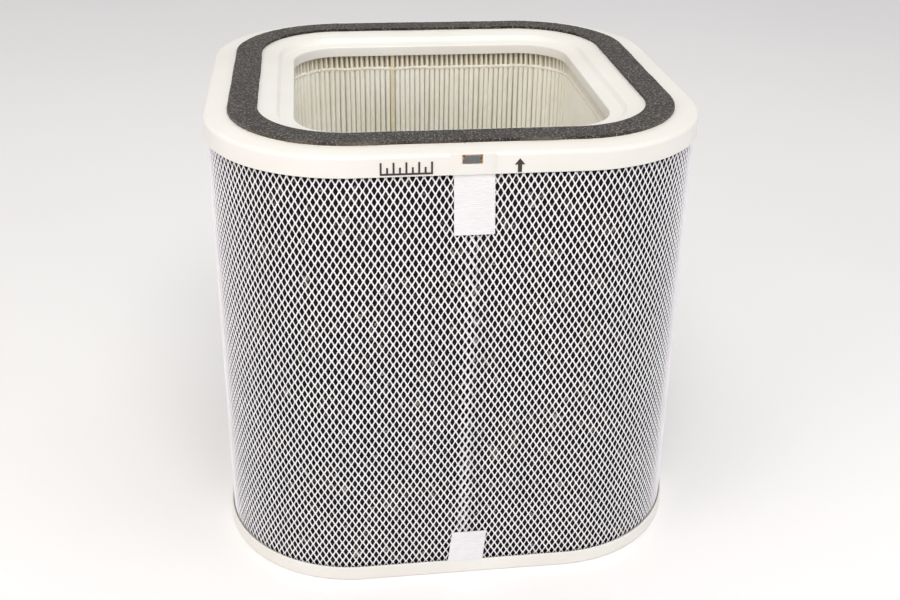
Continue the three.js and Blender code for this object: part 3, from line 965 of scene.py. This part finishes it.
def hot_melt_bead(name, z, node):
    """A thread of glue across the folds: thin on each fold, thicker and sagging in between."""
    sides = 8
    steps = PLEATS * 8
    along = np.arange(steps) * FOLD_LENGTH / steps
    phase = np.mod(along / FOLD_PITCH + 0.5, 1) - 0.5
    valley = np.sin(np.abs(phase) * math.pi) ** 2
    seed = sum(map(ord, name))
    wave = np.array([noise.noise(Vector((s * 60, seed, 0))) for s in along])
    blob = np.array([noise.noise(Vector((s * 330, seed, 5))) for s in along])
    centre_inset = BEAD_INSET - (valley * 1.5 + 0.1 * blob) * MM
    centre_z = z + (0.6 * wave - 0.6 * valley + 0.3 * blob) * MM
    radius = (0.80 + 0.40 * valley + 0.2 * blob) * MM
    ring = np.linspace(0, 2 * math.pi, sides, endpoint=False)
    core, normal = ring_core(along, FOLD_IN)
    out = CORNER_RADIUS - centre_inset[:, None] + np.cos(ring) * radius[:, None] * 0.8
    xy = core[:, None] + normal[:, None] * out[..., None]
    height = centre_z[:, None] + np.sin(ring) * radius[:, None] * 1.25
    points = np.concatenate([xy, height[..., None]], -1)
    faces = grid_faces(steps, sides, wrap_columns=True, wrap_rows=True)[:, ::-1].tolist()
    add_piece(name, points, faces, BEAD, [node], sharp=0)


for level, height in zip(BEAD_LEVELS, BEAD_HEIGHTS):
    hot_melt_bead(f"inner_glue_thread_{level}", height, f"inner_bead_{level}")
    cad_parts[f"outer_bead_{level}"].data.materials[0] = BEAD


# ---- tape tabs over the seam ----
def tape_tab(name, node, heights, edges, face, ribs):
    """A strip of tape on the net.

    edges(z) gives its left and right x, face(x, z) its outer y, and ribs(x_share, z) how far its
    ribs stand out of that.
    """
    columns = 29
    points_front, points_back = [], []
    for x_share in np.linspace(0, 1, columns):
        for z in heights:
            left, right = edges(z)
            x = left + (right - left) * x_share
            y = face(x, z) - ribs(x_share, z)
            rim = min(x_share, 1 - x_share) * (right - left)
            ease = 0.12 * MM * max(0, 1 - rim / (0.8 * MM)) ** 2
            points_front.append((x, y + ease, z))
            points_back.append((x, face(x, z) + TAPE_THICKNESS, z))
    rows = len(heights)
    total = columns * rows
    front = grid_faces(columns, rows)
    back = front[:, ::-1] + total
    i = np.arange(columns - 1) * rows
    low = np.stack([i, i + total, i + rows + total, i + rows], -1)
    i = i + rows - 1
    high = np.stack([i, i + rows, i + rows + total, i + total], -1)
    j = np.arange(rows - 1)
    west = np.stack([j, j + 1, j + 1 + total, j + total], -1)
    j = j + (columns - 1) * rows
    east = np.stack([j, j + total, j + 1 + total, j + 1], -1)
    faces = np.concatenate([front, back, low, high, west, east]).tolist()
    add_piece(name, points_front + points_back, faces, TAPE, [node], sharp=40)


def front_belly(x, z):
    """The belly of the net in the middle of the front, where the tape lies on it."""
    core = np.array([x, FRONT + CORNER_RADIUS])
    return float(belly(core, np.array([0.0, -1.0]), np.array(z)))


def seam_tabs():
    """The ribbed tape under the skirt, and the smooth one that runs down onto the lip."""
    low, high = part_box("top_seam_tab")
    heights = np.linspace(low.z, SKIRT_BOTTOM + 1.2 * MM, 180)

    def top_edges(z):
        drop = (high.z - z) / (high.z - low.z)
        return low.x + 0.4 * MM * drop, high.x + 0.6 * MM * drop

    def top_face(x, z):
        return high.y - TAPE_LIFT - front_belly(x, z)

    def ribs(x_share, z):
        """Ribs 1.2 mm apart that fade to the left, and a hem along the right edge."""
        hem = 0.16 * MM * (x_share > 0.9)
        strength = 0.45 + 0.55 * min(max((x_share - 0.1) / 0.4, 0), 1)
        return strength * 0.055 * MM * math.cos(2 * math.pi * z / (1.2 * MM)) - hem

    tape_tab("ribbed_seam_tape", "top_seam_tab", heights, top_edges, top_face, ribs)

    foot_low, foot_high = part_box("bottom_seam_tab")
    foot_heights = np.linspace(foot_low.z - 0.25 * MM, foot_high.z, 40)

    def foot_edges(z):
        rise = (z - foot_low.z) / (foot_high.z - foot_low.z)
        return foot_low.x + 2.4 * MM * rise, foot_high.x + (2.0 * rise - 0.5) * MM

    def foot_face(x, z):
        share = (z - foot_low.z) / (foot_high.z - foot_low.z)
        settle = 0.5 + 0.5 * math.cos(math.pi * min(max(share / 0.85, 0), 1))
        on_net = foot_high.y - TAPE_LIFT - front_belly(x, z)
        on_lip = foot_low.y + 0.12 * MM
        return on_net + (on_lip - on_net) * settle

    tape_tab("smooth_seam_tape", "bottom_seam_tab", foot_heights, foot_edges, foot_face,
             lambda x_share, z: 0.0)


seam_tabs()


# ---- tag ----
def bevelled_block(name, low, high, radius, material, node, slot):
    """A block with rounded vertical and front edges, seen from the front."""
    x0, x1, z0, z1 = low.x, high.x, low.z, high.z
    outline = rounded([(x0, z0, radius), (x1, z0, radius), (x1, z1, radius), (x0, z1, radius)], 5)
    centre = np.array([(x0 + x1) / 2, (z0 + z1) / 2])
    edge = min(radius * 0.5, (high.y - low.y) * 0.4)
    layers = [(0, high.y), (0, low.y + edge), (edge * 0.3, low.y + edge * 0.3), (edge, low.y)]
    points = []
    for inward, y in layers:
        for point in outline:
            pull = (centre - point) / np.linalg.norm(centre - point) * inward
            points.append((point[0] + pull[0], y, point[1] + pull[1]))
    rows = len(outline)
    faces = grid_faces(len(layers), rows, wrap_rows=True).tolist()
    faces += end_faces(len(layers), rows)
    add_piece(name, points, faces, material, [node], sharp=50)


def tag():
    """The tag in the skirt's pocket: its board, its chip and a contact on each side."""
    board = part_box("tag_board")
    bevelled_block("tag_laminate", *board, 0.15 * MM, BOARD, "tag_board", "tag_board")
    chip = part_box("tag_chip")
    bevelled_block("tag_body", *chip, 0.5 * MM, RESIN, "tag_chip", "tag_resin")
    for side in ("left", "right"):
        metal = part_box(f"tag_terminal_{side}")
        bevelled_block(f"tag_contact_{side}", *metal, 0.2 * MM, BRASS, f"tag_terminal_{side}",
                       "tag_brass")


tag()

# ---- CAD nodes that keep their shape ----
for node in ("front_scale_mark", "up_arrow_mark"):
    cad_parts[node].data.materials[0] = INK
for node in ("top_potting", "bottom_potting"):
    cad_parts[node].data.materials[0] = POTTING


# ---- studio ----
def floor():
    mesh = bpy.data.meshes.new("floor")
    half = 6.0  # far enough to fill the view
    mesh.from_pydata([(-half, -half, 0), (half, -half, 0), (half, half, 0), (-half, half, 0)], [],
                     [(0, 1, 2, 3)])
    mesh.materials.append(studio_floor())
    plane = bpy.data.objects.new("floor", mesh)
    bpy.context.scene.collection.objects.link(plane)


def softbox(name, place, target, size, power, colour):
    """A rectangular area light of that size in metres and power in watts, facing the target."""
    light = bpy.data.lights.new(name, "AREA")
    light.shape = "RECTANGLE"
    light.size, light.size_y = size
    light.energy = power
    light.color = colour
    lamp = bpy.data.objects.new(name, light)
    lamp.location = place
    lamp.rotation_euler = (Vector(target) - Vector(place)).to_track_quat("-Z", "Y").to_euler()
    bpy.context.scene.collection.objects.link(lamp)


def studio():
    floor()
    world = bpy.data.worlds.new("studio")
    world.use_nodes = True
    background = world.node_tree.nodes["Background"]
    background.inputs["Color"].default_value = (1.0, 0.972, 0.985, 1.0)
    background.inputs["Strength"].default_value = 0.6
    bpy.context.scene.world = world
    middle = (0, 0, 0.15)
    softbox("key", (-1.5, -0.9, 0.9), middle, (1.0, 1.0), 9, (1.0, 0.90, 0.87))
    softbox("fill", (1.4, -0.9, 0.8), middle, (1.0, 1.0), 5, (0.97, 0.94, 1.0))
    softbox("top", (0.0, 0.1, 1.7), middle, (1.4, 1.4), 4.5, (0.93, 1.0, 0.88))
    softbox("inside", (0.0, -0.8, 1.25), (0, 0.08, 0.25), (0.6, 0.6), 7, (1.0, 0.975, 0.93))
    bpy.context.scene.view_settings.view_transform = "Standard"
    bpy.context.scene.view_settings.look = "None"


studio()


# ---- camera ----
def camera():
    """The view: from the left of the front and above, tilted a little, framed low."""
    yaw, pitch, roll = (math.radians(a) for a in (7.89, 24.0, -1.02))
    distance = 0.7562
    target = Vector((0.0144, 0, 0.1657))
    forward = Vector((0, math.cos(pitch), -math.sin(pitch)))
    up = Vector((0, math.sin(pitch), math.cos(pitch)))
    right = Vector((1, 0, 0))
    across = right * math.cos(roll) - up * math.sin(roll)
    upward = right * math.sin(roll) + up * math.cos(roll)
    pose = Matrix((across, upward, -forward)).transposed().to_4x4()
    pose.translation = target - forward * distance
    lens = bpy.data.cameras.new("view")
    lens.lens, lens.sensor_width = 46.79, 36.0
    lens.shift_x, lens.shift_y = -0.0148, -0.0809
    lens.clip_start, lens.clip_end = 0.05, 30
    eye = bpy.data.objects.new("view", lens)
    eye.matrix_world = Matrix.Rotation(-yaw, 4, "Z") @ pose
    bpy.context.scene.collection.objects.link(eye)
    bpy.context.scene.camera = eye


camera()
